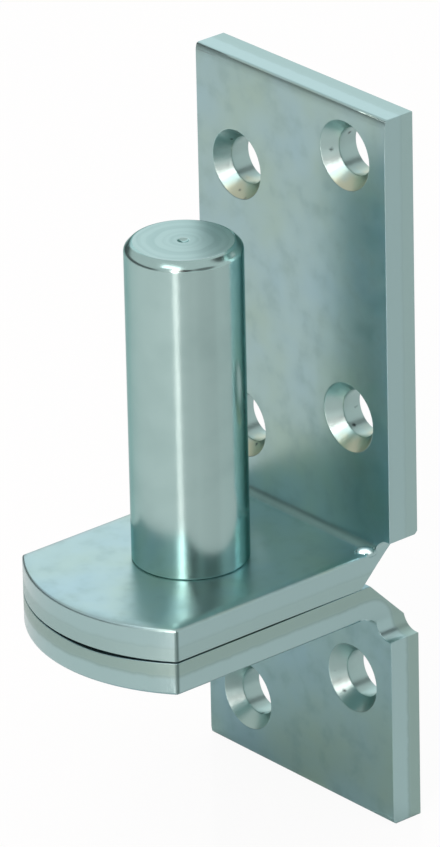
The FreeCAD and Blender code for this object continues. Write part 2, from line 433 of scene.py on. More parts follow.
@dataclass(frozen=True)
class ShearedZinc:
    """Zinc on the edge of a blanked sheet. Sizes in mm.

    The punch burnishes the first half of the thickness and tears the rest, so the eye sees a smooth light band with
    fine lines along the cut, and a duller, greener band on the side where the sheet broke off.
    """

    name: str
    bend_line: float
    bend_radius: float
    thickness: float
    turned_over: bool
    corner: Pair
    tear_colour: str
    crack_share: float
    burnish_colour: str = "#A0C3C4"
    crack_colour: str = "#7D9C9A"
    corner_shade_colour: str = "#56716F"
    burnish_roughness: float = 0.28
    tear_roughness: float = 0.42
    tear_start: float = 2.9
    tear_blur: float = 0.5
    waver: float = 0.6
    waver_size: float = 2.0
    crack_width: float = 0.3
    streak_size: float = 0.35
    streak_stretch: float = 0.92
    tear_grain: float = 0.45
    relief_depth: float = 0.02
    corner_shade_span: Pair = (0.45, 0.15)
    corner_shade_share: float = 0.8

    def make(self) -> bpy.types.Material:
        """Build the node material.

        Returns:
            The material, ready for a slot of the piece.
        """
        material, tree = new_material(self.name)
        add = partial(add_node, tree)
        place = add("ShaderNodeTexCoord").outputs["Object"]
        # Place in mm, from the axis of the bend: y runs through the plate and z through the shelf
        lift, turn = (2 * self.thickness + self.bend_radius, 1) if self.turned_over else (self.bend_radius, -1)
        local = add("ShaderNodeMapping", {
            "Vector": place, "Location": (0, -self.bend_line, lift), "Scale": (1 / MM, 1 / MM, turn / MM),
        })
        inward = add("ShaderNodeVectorMath", {0: local.outputs[0], 1: (0, 0, 0)}, operation="MAXIMUM")
        through = add("ShaderNodeVectorMath", {0: inward.outputs[0], 1: (0, 1, 1)}, operation="MULTIPLY")
        length = add("ShaderNodeVectorMath", {0: through.outputs[0]}, operation="LENGTH")
        along = add("ShaderNodeVectorMath", {
            0: through.outputs[0], 1: [-self.streak_stretch] * 3, 2: local.outputs[0],
        }, operation="MULTIPLY_ADD")
        waver = add("ShaderNodeTexNoise", {
            "Vector": along.outputs[0], "Scale": 1 / self.waver_size, "Detail": 4.0,
        })
        streaks = add("ShaderNodeTexNoise", {
            "Vector": along.outputs[0], "Scale": 1 / self.streak_size, "Detail": 2.0,
        })
        grain = add("ShaderNodeTexNoise", {"Vector": local.outputs[0], "Scale": 1 / self.tear_grain, "Detail": 3.0})
        border = add("ShaderNodeMath", {
            0: waver.outputs["Fac"], 1: self.waver, 2: length.outputs["Value"],
        }, operation="MULTIPLY_ADD")
        edge = self.bend_radius + self.tear_start + self.waver * NOISE_MIDDLE
        torn = add("ShaderNodeMapRange", {
            "Value": border.outputs[0], FROM: (edge - self.tear_blur, edge + self.tear_blur),
        }, interpolation_type="SMOOTHSTEP")
        tint = add("ShaderNodeMix", {
            SHARE: torn.outputs[0], FIRST_COLOUR: linear(self.burnish_colour), SECOND_COLOUR: linear(self.tear_colour),
        }, data_type="RGBA")
        crack = add("ShaderNodeMapRange", {
            "Value": border.outputs[0], FROM: (edge + self.crack_width, edge), "To Max": self.crack_share,
        }, interpolation_type="SMOOTHSTEP")
        crack = add("ShaderNodeMath", {0: crack.outputs[0], 1: torn.outputs[0]}, operation="MULTIPLY")
        tint = add("ShaderNodeMix", {
            SHARE: crack.outputs[0], FIRST_COLOUR: tint.outputs[MIXED_COLOUR], SECOND_COLOUR: linear(self.crack_colour),
        }, data_type="RGBA")
        # Distance in mm from the shelf's front corners, where the colour is painted darker: painted shade along the
        # corner lines
        mirrored = add("ShaderNodeVectorMath", {0: place}, operation="ABSOLUTE")
        sideways = add("ShaderNodeVectorMath", {
            0: mirrored.outputs[0], 1: (1 / MM, 0, 0), 2: (-self.corner[0], -self.corner[1], 0),
        }, operation="MULTIPLY_ADD")
        offset = add("ShaderNodeVectorMath", {
            0: place, 1: (0, 1 / MM, 0), 2: sideways.outputs[0],
        }, operation="MULTIPLY_ADD")
        near = add("ShaderNodeVectorMath", {0: offset.outputs[0]}, operation="LENGTH")
        painted_corner_shade = add("ShaderNodeMapRange", {
            "Value": near.outputs["Value"], FROM: self.corner_shade_span, "To Max": self.corner_shade_share,
        }, interpolation_type="SMOOTHSTEP")
        tint = add("ShaderNodeMix", {
            SHARE: painted_corner_shade.outputs[0], FIRST_COLOUR: tint.outputs[MIXED_COLOUR], SECOND_COLOUR: linear(self.corner_shade_colour),
        }, data_type="RGBA")
        rough = add("ShaderNodeMapRange", {
            "Value": torn.outputs[0], TO: (self.burnish_roughness, self.tear_roughness),
        })
        height = add("ShaderNodeMix", {
            SHARE: torn.outputs[0], FIRST_VALUE: streaks.outputs["Fac"], SECOND_VALUE: grain.outputs["Fac"],
        }, data_type="FLOAT")
        lay_zinc(
            tree, tint.outputs[MIXED_COLOUR], rough.outputs[0], height.outputs[MIXED_VALUE], self.relief_depth * MM,
        )
        return material


@dataclass(frozen=True)
class DrilledZinc:
    """Zinc in a drilled and countersunk hole. Sizes in mm.

    The cutter leaves a bright skin that mirrors the lights sharply, and the passivate runs to the bottom of the hole
    and dries there with a tint and a few dark specks.
    """

    name: str
    pool_colour: str
    colour: str = "#A2C3C1"
    speck_colour: str = "#485A5A"
    roughness: float = 0.32
    run_direction: Point = (0.35, 0.0, -0.94)
    pool_size: float = 2.5
    pool_waver: float = 3.0
    pool_span: Pair = (3.6, 5.4)
    speck_spacing: float = 2.4
    speck_radius: float = 0.42
    speck_ragged: float = 0.3
    grain_size: float = 0.7
    grain_depth: float = 0.03

    def make(self) -> bpy.types.Material:
        """Build the node material.

        Returns:
            The material, ready for a slot of the piece.
        """
        material, tree = new_material(self.name)
        add = partial(add_node, tree)
        place = add("ShaderNodeTexCoord").outputs["Object"]
        inside = add("ShaderNodeAttribute", attribute_name="hole_place").outputs["Vector"]
        # Lower right of the hole, where the liquid ran together
        low = add("ShaderNodeVectorMath", {0: inside, 1: self.run_direction}, operation="DOT_PRODUCT")
        wash = add("ShaderNodeTexNoise", {"Vector": place, "Scale": 1 / (self.pool_size * MM), "Detail": 3.0})
        depth = add("ShaderNodeMath", {
            0: wash.outputs["Fac"], 1: self.pool_waver, 2: low.outputs["Value"],
        }, operation="MULTIPLY_ADD")
        pool = add("ShaderNodeMapRange", {
            "Value": depth.outputs[0], FROM: self.pool_span,
        }, interpolation_type="SMOOTHSTEP")
        tint = add("ShaderNodeMix", {
            SHARE: pool.outputs[0], FIRST_COLOUR: linear(self.colour), SECOND_COLOUR: linear(self.pool_colour),
        }, data_type="RGBA")
        specks = add("ShaderNodeTexVoronoi", {"Vector": place, "Scale": 1 / (self.speck_spacing * MM)})
        grain = add("ShaderNodeTexNoise", {"Vector": place, "Scale": 1 / (self.grain_size * MM), "Detail": 3.0})
        ragged = add("ShaderNodeMath", {
            0: grain.outputs["Fac"], 1: self.speck_ragged, 2: specks.outputs["Distance"],
        }, operation="MULTIPLY_ADD")
        core = self.speck_ragged * NOISE_MIDDLE
        reach = core + self.speck_radius / self.speck_spacing
        speck = add("ShaderNodeMapRange", {
            "Value": ragged.outputs[0], FROM: (reach, core),
        }, interpolation_type="SMOOTHSTEP")
        tint = add("ShaderNodeMix", {
            SHARE: speck.outputs[0], FIRST_COLOUR: tint.outputs[MIXED_COLOUR], SECOND_COLOUR: linear(self.speck_colour),
        }, data_type="RGBA")
        lay_zinc(tree, tint.outputs[MIXED_COLOUR], self.roughness, grain.outputs["Fac"], self.grain_depth * MM)
        return material


@dataclass(frozen=True)
class TurnedZinc:
    """Zinc on a turned pin. Sizes in mm.

    The side was turned fine and is a clear mirror with faint clouds. The end was faced off in one pass, so the eye sees
    a duller, lighter disc with thin, slightly wandering rings.
    """

    end_height: float
    name: str = "Zinc on turned bright bar, blue passivated"
    colour: str = "#A4C6C4"
    cloud_colour: str = "#93B5B3"
    end_colour: str = "#B6CFCE"
    end_ring_colour: str = "#ABC5C4"
    graze_colour: str = "#B4D0CF"
    roughness: float = 0.19
    end_roughness: float = 0.3
    end_slack: float = 0.02
    cloud_size: float = 6.0
    cloud_span: Pair = (0.45, 0.75)
    cloud_share: float = 0.5
    ring_spacing: float = 0.7
    ring_span: Pair = (0.42, 0.62)
    ring_depth: float = 0.004
    end_ring_depth: float = 0.02
    wander: float = 0.9
    wander_size: float = 3.0

    def make(self) -> bpy.types.Material:
        """Build the node material.

        Returns:
            The material, ready for a slot of the piece.
        """
        material, tree = new_material(self.name)
        add = partial(add_node, tree)
        place = add("ShaderNodeTexCoord").outputs["Object"]
        height = add("ShaderNodeSeparateXYZ", {0: place}).outputs["Z"]
        flat = add("ShaderNodeVectorMath", {0: place, 1: (1, 1, 0)}, operation="MULTIPLY")
        radius = add("ShaderNodeVectorMath", {0: flat.outputs[0]}, operation="LENGTH")
        wobble = add("ShaderNodeTexNoise", {"Vector": place, "Scale": 1 / (self.wander_size * MM), "Detail": 1.0})
        wander = add("ShaderNodeMath", {
            0: wobble.outputs["Fac"], 1: self.wander * MM, 2: radius.outputs["Value"],
        }, operation="MULTIPLY_ADD")
        profile = add("ShaderNodeCombineXYZ", {"X": wander.outputs[0], "Z": height})
        rings = add("ShaderNodeTexNoise", {
            "Vector": profile.outputs[0], "Scale": 1 / (self.ring_spacing * MM), "Detail": 2.0,
        })
        clouds = add("ShaderNodeTexNoise", {"Vector": place, "Scale": 1 / (self.cloud_size * MM), "Detail": 3.0})
        end = add("ShaderNodeMath", {
            0: height, 1: (self.end_height - self.end_slack) * MM,
        }, operation="GREATER_THAN").outputs[0]
        shade = add("ShaderNodeMapRange", {
            "Value": clouds.outputs["Fac"], FROM: self.cloud_span, "To Max": self.cloud_share,
        })
        lines = add("ShaderNodeMapRange", {"Value": rings.outputs["Fac"], FROM: self.ring_span})
        worn = add("ShaderNodeMix", {
            SHARE: end, FIRST_VALUE: shade.outputs[0], SECOND_VALUE: lines.outputs[0],
        }, data_type="FLOAT")
        clear = add("ShaderNodeMix", {
            SHARE: end, FIRST_COLOUR: linear(self.colour), SECOND_COLOUR: linear(self.end_colour),
        }, data_type="RGBA")
        marked = add("ShaderNodeMix", {
            SHARE: end, FIRST_COLOUR: linear(self.cloud_colour), SECOND_COLOUR: linear(self.end_ring_colour),
        }, data_type="RGBA")
        tint = add("ShaderNodeMix", {
            SHARE: worn.outputs[MIXED_VALUE], FIRST_COLOUR: clear.outputs[MIXED_COLOUR],
            SECOND_COLOUR: marked.outputs[MIXED_COLOUR],
        }, data_type="RGBA")
        depth = add("ShaderNodeMapRange", {"Value": end, TO: (self.ring_depth * MM, self.end_ring_depth * MM)})
        rough = add("ShaderNodeMapRange", {"Value": end, TO: (self.roughness, self.end_roughness)})
        lay_zinc(
            tree, tint.outputs[MIXED_COLOUR], rough.outputs[0], rings.outputs["Fac"], depth.outputs[0],
            {"Specular Tint": linear(self.graze_colour)},
        )
        return material


@dataclass(frozen=True)
class PressBurr:
    """Flat burr that the press leaves at each end of a bend's inner corner: a round-edged stud. Sizes in mm."""

    radius: float = 1.0
    depth: float = 2.0
    stretch: Point = (1.4, 0.8, 1.0)
    rounding: float = 0.55
    from_corner: Point = (-0.4, -1.4, 0.12)
    facing: Point = (0.605, -0.688, 0.4)
    steps: int = 48
    rounding_steps: int = 6

    def build(self, half_shelf: float, setback: float, side: int) -> bpy.types.Object:
        """Model the burr at one end of the bend.

        Args:
            half_shelf: Half the width of the shelf.
            setback: Place along y of the plate's front face.
            side: 1 for the end at +x, -1 for the other.

        Returns:
            The burr, which reaches into the sheet.
        """
        facing = Vector((side * self.facing[0], *self.facing[1:])).normalized()
        across, along, up = self.from_corner
        front = Vector((side * (half_shelf + across), setback + along, up))
        bpy.ops.object.select_all(action="DESELECT")
        bpy.ops.mesh.primitive_cylinder_add(
            vertices=self.steps, radius=self.radius * MM, depth=self.depth * MM, scale=self.stretch,
            location=(front - facing * self.depth / 2) * MM, rotation=facing.to_track_quat("Z", "Y").to_euler(),
        )
        burr = bpy.context.object
        with Bench(burr) as bench:
            bench.pick(Pick.EDGES, lambda edge: all(point.co.z > 0 for point in edge.verts))
            bench.round_over(self.rounding, self.rounding_steps)
        return settle(burr)


@dataclass
class AnglePlate:
    """Sheet blanked with a round-fronted shelf, drilled, and bent up into a plate. Sizes in mm, shelf under z = 0."""

    name: str
    node: str
    height: float
    shoulder: float
    flat_leg: float
    holes: tuple[Pair, ...]
    turned_over: bool = False
    burr: PressBurr | None = None
    thickness: float = 5.0
    half_plate: float = 19.0
    half_shelf: float = 16.0
    setback: float = 18.8
    reach: float = 22.0
    bow: float = 5.8
    bend_radius: float = 1.2
    bend_overlap: float = 0.3
    shoulder_radius: float = 2.5
    die_roll: tuple[Pair, ...] = ((0.3, 0.17), (0.5, 0.12), (0.9, 0.08))
    bore_radius: float = 3.3
    sink_radius: float = 4.9
    sink_depth: float = 1.98
    tenon_hole_radius: float = 6.05
    # Rounding of the sharp edges, and how near to a line an edge lies on it
    rim_rounding: float = 0.28
    edge_rounding: float = 0.1
    on_line: float = 0.005
    # Space round each end of the bend in which the edges stay as the press left them
    bend_end_across: float = 1.6
    bend_end_along: Pair = (-3.0, 0.5)
    bend_end_up: Pair = (-1.5, 1.7)
    # The seam under the shelf: its gap all round, the wider gap at the front, and the outline that parts
    seam_gap: float = 0.1
    front_gap: float = 0.0
    gap_place: float = 5.0
    gap_spread: float = 6.5
    front_end: float = -15.0
    seam_end: float = 6.0
    outline_radius: float = 18.5
    outline_share: float = 0.99
    # How far the rough sheet and the tools reach past a cut, and how far a hole's tint reaches past it
    rough_margin: float = 3.0
    tool_margin: float = 2.0
    sink_margin: float = 1.0
    hole_margin: float = 0.5
    hole_slack: float = 0.1
    # Lines along y that part the broad shelf into plain faces
    shelf_lines: tuple[float, ...] = (-15.0, 0.0, 16.0)
    arc_steps: int = 144
    tenon_hole_steps: int = 96
    bore_steps: int = 72
    bend_steps: int = 8
    shoulder_steps: int = 10

    @property
    def back(self) -> float:
        """Place of the plate's back face along y."""
        return self.setback + self.thickness

    @property
    def bend_line(self) -> float:
        """Place along y where the flat shelf ends and the bend starts."""
        return self.setback - self.bend_radius

    @property
    def roll_depth(self) -> float:
        """How far the rim of the blanked sheet lies under its upper face."""
        return sum(rise for _, rise in self.die_roll)

    @property
    def hand(self) -> int:
        """1 for a plate that stays as modelled, -1 for one that is turned over."""
        return -1 if self.turned_over else 1

    def build(self) -> bpy.types.Object:
        """Model the plate and lay it in its place.

        Returns:
            The finished plate, not yet dressed.
        """
        piece = self.blank_shelf()
        combine(piece, self.form_bend(), Join.ADD)
        combine(piece, self.blank_plate(), Join.ADD)
        if self.burr:
            for side in (-1, 1):
                combine(piece, self.burr.build(self.half_shelf, self.setback, side), Join.ADD)
        with Bench(piece) as bench:
            bench.tidy()
            bench.slice((0, self.back, self.flat_leg - self.thickness), (0, 1, -1), fill=True)
            bench.tidy()
        self.open_seam(piece)
        break_edges(piece, self.edge_width)
        for point in piece.data.vertices:
            # No broken edge may swell past the sheet
            point.co.x = max(-self.half_plate * MM, min(self.half_plate * MM, point.co.x))
            point.co.z = min(self.height * MM, point.co.z)
        self.sort_faces(piece)
        if self.turned_over:
            piece.rotation_euler = (0, math.pi, 0)
            piece.location = (0, 0, -2 * self.thickness * MM)
            settle(piece)
        piece.name = piece.data.name = self.name
        return piece

    def blank_shelf(self) -> bpy.types.Object:
        """Cut the shelf from a disc, give it its thickness and roll its upper outline.

        Returns:
            The shelf up to the bend, with the hole for the pin's tenon.
        """
        radius = (self.bow ** 2 + self.half_shelf ** 2) / (2 * self.bow)
        bpy.ops.object.select_all(action="DESELECT")
        bpy.ops.mesh.primitive_circle_add(
            vertices=self.arc_steps, radius=radius * MM, fill_type="NGON",
            location=(0, (radius - self.reach) * MM, -self.roll_depth * MM),
        )
        shelf = settle(bpy.context.object)
        with Bench(shelf) as bench:
            bench.slice((self.half_shelf, 0, 0), (1, 0, 0))
            bench.slice((-self.half_shelf, 0, 0), (-1, 0, 0))
            bench.slice((0, self.bend_line + self.tool_margin, 0), (0, 1, 0))
            bpy.ops.mesh.select_all(action="SELECT")
            bench.pull((0, 0, self.roll_depth - self.thickness))
            bench.tidy()
            bench.pick(Pick.FACES, lambda face: lies_at(face, 2, -self.roll_depth))
            bench.crown(self.die_roll)
            bench.slice((0, self.bend_line, 0), (0, 1, 0), fill=True)
            bench.tidy()
            bench.slice((0, 0, 0), (1, 0, 0), keep_outer=True)
            for place in self.shelf_lines:
                bench.slice((0, place, 0), (0, 1, 0), keep_outer=True)
        bpy.ops.object.select_all(action="DESELECT")
        bpy.ops.mesh.primitive_cylinder_add(
            vertices=self.tenon_hole_steps, radius=self.tenon_hole_radius * MM, depth=4 * self.thickness * MM,
        )
        combine(shelf, bpy.context.object, Join.CUT)
        return shelf

    def form_bend(self) -> bpy.types.Object:
        """Form the bend's inner corner between shelf and plate.

        Returns:
            The bend, up to the plate's shoulders.
        """
        bend = add_block(
            (-self.half_shelf, self.bend_line - self.bend_overlap, -self.thickness), (self.half_shelf, self.back, 0),
        )
        with Bench(bend) as bench:
            bench.slice((0, self.setback, 0), (0, 1, 0), keep_outer=True)
            bench.pick(
                Pick.FACES, lambda face: lies_at(face, 2, 0) and face.calc_center_median().y > self.setback * MM,
            )
            bench.pull((0, 0, self.shoulder))
            bench.pick(Pick.EDGES, lambda edge: lies_at(edge, 2, 0) and lies_at(edge, 1, self.setback))
            bench.round_over(self.bend_radius, self.bend_steps)
            bench.tidy()
        return bend

    def blank_plate(self) -> bpy.types.Object:
        """Cut the upright plate with its rolled front outline, notched shoulders and screw holes.

        Returns:
            The plate, down to its foot.
        """
        foot = self.shoulder - self.shoulder_radius
        rim = self.setback + self.roll_depth
        rough = self.half_plate + self.rough_margin
        plate = add_block((-rough, rim, foot - self.rough_margin), (rough, self.back, self.height))
        with Bench(plate) as bench:
            bench.pick(Pick.FACES, lambda face: lies_at(face, 1, rim))
            bench.crown(self.die_roll)
            # Only the end of the strip was blanked: its sides and foot are square
            bench.slice((0, 0, foot), (0, 0, -1), fill=True)
            for side in (-1, 1):
                bench.slice((side * self.half_plate, 0, 0), (side, 0, 0), fill=True)
            bench.tidy()
        for side in (-1, 1):
            inner, outer = side * self.half_shelf, side * (self.half_plate + self.tool_margin)
            notch = add_block(
                (min(inner, outer), self.setback - self.tool_margin, foot - self.tool_margin),
                (max(inner, outer), self.back + self.tool_margin, self.shoulder),
            )
            with Bench(notch) as bench:
                bench.pick(Pick.EDGES, lambda edge: lies_at(edge, 0, inner) and lies_at(edge, 2, self.shoulder))
                bench.round_over(self.shoulder_radius, self.shoulder_steps)
            combine(plate, notch, Join.CUT)
        with Bench(plate) as bench:
            for across, up in self.holes:
                bench.slice((across, 0, 0), (1, 0, 0), keep_outer=True)
                bench.slice((0, 0, up), (0, 0, 1), keep_outer=True)
        for drill in self.screw_drills():
            combine(plate, drill, Join.CUT)
        return plate

    def screw_drills(self) -> list[bpy.types.Object]:
        """Model one countersink drill and copy it for every screw hole.

        Returns:
            The copies, each at its hole.
        """
        length = self.thickness - self.sink_depth + self.tool_margin
        bpy.ops.object.select_all(action="DESELECT")
        bpy.ops.mesh.primitive_cylinder_add(
            vertices=self.bore_steps, radius=self.bore_radius * MM, depth=length * MM,
            location=(0, (self.setback + self.sink_depth + length / 2) * MM, 0), rotation=(math.pi / 2, 0, 0),
        )
        drill = settle(bpy.context.object)
        with Bench(drill) as bench:
            bench.pick(Pick.FACES, lambda face: face.normal.y < -ALIGNED)
            bench.pull((0, -self.sink_depth, 0))
            bpy.ops.transform.resize(value=[self.sink_radius / self.bore_radius] * 3)
            bench.pull((0, -self.sink_margin, 0))
            bench.tidy()
        copies = []
        for across, up in self.holes:
            copy = bpy.data.objects.new("drill", drill.data.copy())
            bpy.context.scene.collection.objects.link(copy)
            copy.location = Vector((across, 0, up)) * MM
            copies.append(settle(copy))
        bpy.data.meshes.remove(drill.data)
        return copies

    def edge_width(self, edge: bmesh.types.BMEdge) -> float:
        """Choose the rounding of a sharp edge: wide on the rolled rim, none on the roll's mitres and the bend's ends.

        Args:
            edge: Edge of the plate, not yet turned over.

        Returns:
            The rounding in mm.
        """
        middle = (edge.verts[0].co + edge.verts[1].co) / (2 * MM)
        across = abs(abs(middle.x) - self.half_shelf)
        (front, behind), (low, high) = self.bend_end_along, self.bend_end_up
        at_bend_end = (
            across < self.bend_end_across and self.setback + front < middle.y < self.setback + behind
            and low < middle.z < high
        )
        on_mitre = (
            -self.roll_depth + self.on_line < middle.z < -self.on_line
            or self.on_line < middle.y - self.setback < self.roll_depth - self.on_line
        )
        if on_mitre or at_bend_end:
            return 0.0
        on_shelf_rim = abs(middle.z + self.roll_depth) < self.on_line
        on_plate_rim = abs(middle.y - self.setback - self.roll_depth) < self.on_line
        return self.rim_rounding if on_shelf_rim or on_plate_rim else self.edge_rounding

    def open_seam(self, piece: bpy.types.Object) -> None:
        """Let the shelf's underside part from its neighbour along the outline, most at the front.

        Args:
            piece: The plate, with sharp edges and not yet turned over.
        """
        for point in piece.data.vertices:
            place = point.co / MM
            outer = max(abs(place.x) / self.half_shelf, math.hypot(place.x, place.y) / self.outline_radius)
            under = abs(place.z + self.thickness) < SAME_POINT / MM
            if under and outer > self.outline_share and place.y < self.setback - self.seam_end:
                offset = (self.hand * place.x - self.gap_place) / self.gap_spread
                front = math.exp(-offset ** 2) if place.y < self.front_end else 0.0
                point.co.z += (self.seam_gap + self.front_gap * front) * MM

    def sort_faces(self, piece: bpy.types.Object) -> None:
        """Give every face the material slot of its kind of surface, and every hole's points their place in the hole.

        Args:
            piece: The plate, not yet turned over.
        """
        inside = piece.data.attributes.new("hole_place", "FLOAT_VECTOR", "POINT")
        for point, place in zip(piece.data.vertices, inside.data):
            x, y, z = point.co / MM
            across, up = min(self.holes, key=lambda hole: math.hypot(x - hole[0], z - hole[1]))
            if math.hypot(x - across, z - up) < self.sink_radius + self.hole_margin:
                place.vector = (self.hand * (x - across), y - self.setback, self.hand * (z - up))
        # A face more than 60 degrees from the sheet's own faces is a cut edge
        edge_limit = 0.5
        for face in piece.data.polygons:
            centre = face.center / MM
            through = Vector((0, max(centre.y - self.bend_line, 0), -max(self.bend_radius - centre.z, 0))).normalized()
            from_hole = min(math.hypot(centre.x - across, centre.z - up) for across, up in self.holes)
            in_hole = from_hole < self.sink_radius + self.hole_slack and centre.y > self.setback - self.hole_slack
            if in_hole and abs(face.normal.y) < ALIGNED:
                face.material_index = Surface.BORE.value
            elif abs(face.normal.dot(through)) < edge_limit:
                face.material_index = Surface.EDGE.value
            else:
                face.material_index = Surface.FACE.value

    def dress(
        self, piece: bpy.types.Object, face: RolledZinc, pool_colour: str, tear_colour: str, crack_share: float,
    ) -> None:
        """Give the plate its finishes.

        Args:
            piece: The finished plate.
            face: Finish of the rolled faces.
            pool_colour: Tint of the passivate that dried in the screw holes.
            tear_colour: Tint of the torn half of the sheared edges.
            crack_share: How clearly the line between burnished and torn half shows, from 0 to 1.
        """
        edge = ShearedZinc(
            f"Zinc on sheared edge, {self.name}", self.bend_line, self.bend_radius, self.thickness, self.turned_over,
            corner=(self.half_shelf, self.bow - self.reach), tear_colour=tear_colour, crack_share=crack_share,
        )
        bore = DrilledZinc(f"Zinc in drilled countersink, {self.name}", pool_colour)
        for finish in (face, edge, bore):
            piece.data.materials.append(finish.make())


@dataclass
class HingePin:
    """Pin turned from bright bar, with a chamfered end, on a tenon through both shelves. Sizes in mm."""

    name: str = "turned_pin"
    node: str = "hinge_pin"
    radius: float = 8.0
    height: float = 46.0
    chamfer: float = 1.0
    mark_radius: float = 0.8
    mark_depth: float = 0.4
    tenon_radius: float = 6.0
    tenon_length: float = 10.0
    foot_rounding: float = 0.25
    chamfer_rounding: float = 0.35
    edge_rounding: float = 0.12
    steps: int = 160

    def build(self) -> bpy.types.Object:
        """Model the pin with its chamfer, centre mark and tenon.

        Returns:
            The finished pin, not yet dressed.
        """
        bpy.ops.object.select_all(action="DESELECT")
        bpy.ops.mesh.primitive_cylinder_add(
            vertices=self.steps, radius=self.radius * MM, depth=self.height * MM,
            location=(0, 0, self.height / 2 * MM),
        )
        pin = settle(bpy.context.object)
        with Bench(pin) as bench:
            bench.pick(Pick.EDGES, lambda edge: lies_at(edge, 2, self.height))
            bench.round_over(self.chamfer, 1)
            bench.pick(Pick.FACES, lambda face: lies_at(face, 2, self.height))
            bpy.ops.mesh.inset(thickness=(self.radius - self.chamfer - self.mark_radius) * MM)
            bpy.ops.mesh.poke(offset=-self.mark_depth * MM)
            bench.pick(Pick.FACES, lambda face: lies_at(face, 2, 0))
            bpy.ops.mesh.inset(thickness=(self.radius - self.tenon_radius) * MM)
            bench.pull((0, 0, -self.tenon_length))
        break_edges(pin, self.edge_width)
        pin.name = pin.data.name = self.name
        return pin

    def edge_width(self, edge: bmesh.types.BMEdge) -> float:
        """Choose the rounding of a sharp edge: wide at the pin's foot and round its chamfer, fine elsewhere.

        Args:
            edge: Edge of the pin.

        Returns:
            The rounding in mm.
        """
        if lies_at(edge, 2, 0):
            return self.foot_rounding
        place = edge.verts[0].co / MM
        on_chamfer = place.z > 0 and place.xy.length > self.tenon_radius
        return self.chamfer_rounding if on_chamfer else self.edge_rounding


@dataclass(frozen=True)
class PhotoCamera:
    """Camera at the photograph's viewing angle. Lengths in mm and angles in degrees."""

    azimuth: float = 49.824
    elevation: float = 24.668
    roll: float = 1.283
    distance: float = 1150.0
    offset: Pair = (4.284, 17.508)
    focal_pixels: float = 8574.95
    frame_height: float = 847.0
    sensor: float = 36.0
    clip: Pair = (50.0, 20000.0)

    def place(self) -> None:
        """Add the camera and make it the scene's own."""
        turn, tilt, roll = (math.radians(angle) for angle in (self.azimuth, self.elevation, self.roll))
        right = Vector((math.cos(turn), math.sin(turn), 0))
        up = Vector((-math.sin(turn) * math.sin(tilt), math.cos(turn) * math.sin(tilt), math.cos(tilt)))
        ahead = up.cross(right)
        centre = (right * self.offset[0] + up * self.offset[1] - ahead * self.distance) * MM
        data = bpy.data.cameras.new("photo_camera")
        data.sensor_width = self.sensor
        data.lens = self.focal_pixels * self.sensor / self.frame_height
        data.clip_start, data.clip_end = (length * MM for length in self.clip)
        camera = bpy.data.objects.new("photo_camera", data)
        bpy.context.scene.collection.objects.link(camera)
        right_turned = right * math.cos(roll) - up * math.sin(roll)
        up_turned = up * math.cos(roll) + right * math.sin(roll)
        turned = Matrix((right_turned, up_turned, -ahead)).transposed().to_4x4()
        camera.matrix_world = Matrix.Translation(centre) @ turned
        bpy.context.scene.camera = camera


@dataclass(frozen=True)
class SoftPanel:
    """Soft light panel that faces the object. Angles in degrees, lengths in metres."""

    name: str
    azimuth: float
    elevation: float
    distance: float
    width: float
    height: float
    radiance: float
    colour: str

    def hang(self) -> None:
        """Add the lamp at its place, turned to the object."""
        data = bpy.data.lights.new(self.name, "AREA")
        data.shape = "RECTANGLE"
        data.size, data.size_y = self.width, self.height
        data.color = linear(self.colour)[:3]
        data.energy = self.radiance * math.pi * self.width * self.height
        lamp = bpy.data.objects.new(self.name, data)
        bpy.context.scene.collection.objects.link(lamp)
        turn, lift = math.radians(self.azimuth), math.radians(self.elevation)
        towards = Vector((math.cos(turn) * math.cos(lift), math.sin(turn) * math.cos(lift), math.sin(lift)))
        lamp.location = towards * self.distance
        lamp.rotation_euler = towards.to_track_quat("Z", "Y").to_euler()
        lamp.visible_camera = False


@dataclass(frozen=True)
class PaleLaminate:
    """White laminate, pressed smooth. Lengths in metres.

    The eye sees a near-white, slightly glossy floor with the object's shadow. Behind the object's right side its colour
    is painted grey: painted shade, which the metal mirrors.
    """

    name: str = "White laminate, semi-gloss"
    near_colour: str = "#FCFCFC"
    far_shade_colour: str = "#E4E4E4"
    white: str = "#FFFFFF"
    roughness: float = 0.1
    shade_direction: Point = (0.76, 0.65, 0.0)
    shade_span: Pair = (-0.06, 0.14)
    camera_share: float = 0.93
    mirror_share: float = 0.05

    def make(self) -> bpy.types.Material:
        """Build the node material.

        Returns:
            The material, ready for a slot of the piece.
        """
        material, tree = new_material(self.name)
        add = partial(add_node, tree)
        path = add("ShaderNodeLightPath").outputs
        place = add("ShaderNodeTexCoord").outputs["Object"]
        # Painted shade: the floor's colour turns grey towards the back right, away from the object
        away = add("ShaderNodeVectorMath", {0: place, 1: self.shade_direction}, operation="DOT_PRODUCT")
        painted_fall = add("ShaderNodeMapRange", {
            "Value": away.outputs["Value"], FROM: self.shade_span,
        }, interpolation_type="SMOOTHSTEP")
        pale = add("ShaderNodeMix", {
            SHARE: painted_fall.outputs[0], FIRST_COLOUR: linear(self.near_colour), SECOND_COLOUR: linear(self.far_shade_colour),
        }, data_type="RGBA")
        laminate = add("ShaderNodeBsdfPrincipled", {
            "Base Color": pale.outputs[MIXED_COLOUR], "Roughness": self.roughness,
        })
        white = add("ShaderNodeEmission", {"Color": linear(self.white), "Strength": 1.0})
        seen = add("ShaderNodeMath", {0: path["Is Camera Ray"], 1: self.camera_share}, operation="MULTIPLY")
        mirrored = add("ShaderNodeMath", {
            0: path["Is Glossy Ray"], 1: path["Is Transmission Ray"],
        }, operation="MAXIMUM")
        share = add("ShaderNodeMath", {
            0: mirrored.outputs[0], 1: self.mirror_share, 2: seen.outputs[0],
        }, operation="MULTIPLY_ADD")
        mix = add("ShaderNodeMixShader", {0: share.outputs[0], 1: laminate.outputs[0], 2: white.outputs[0]})
        add("ShaderNodeOutputMaterial", {"Surface": mix.outputs[0]})
        return material


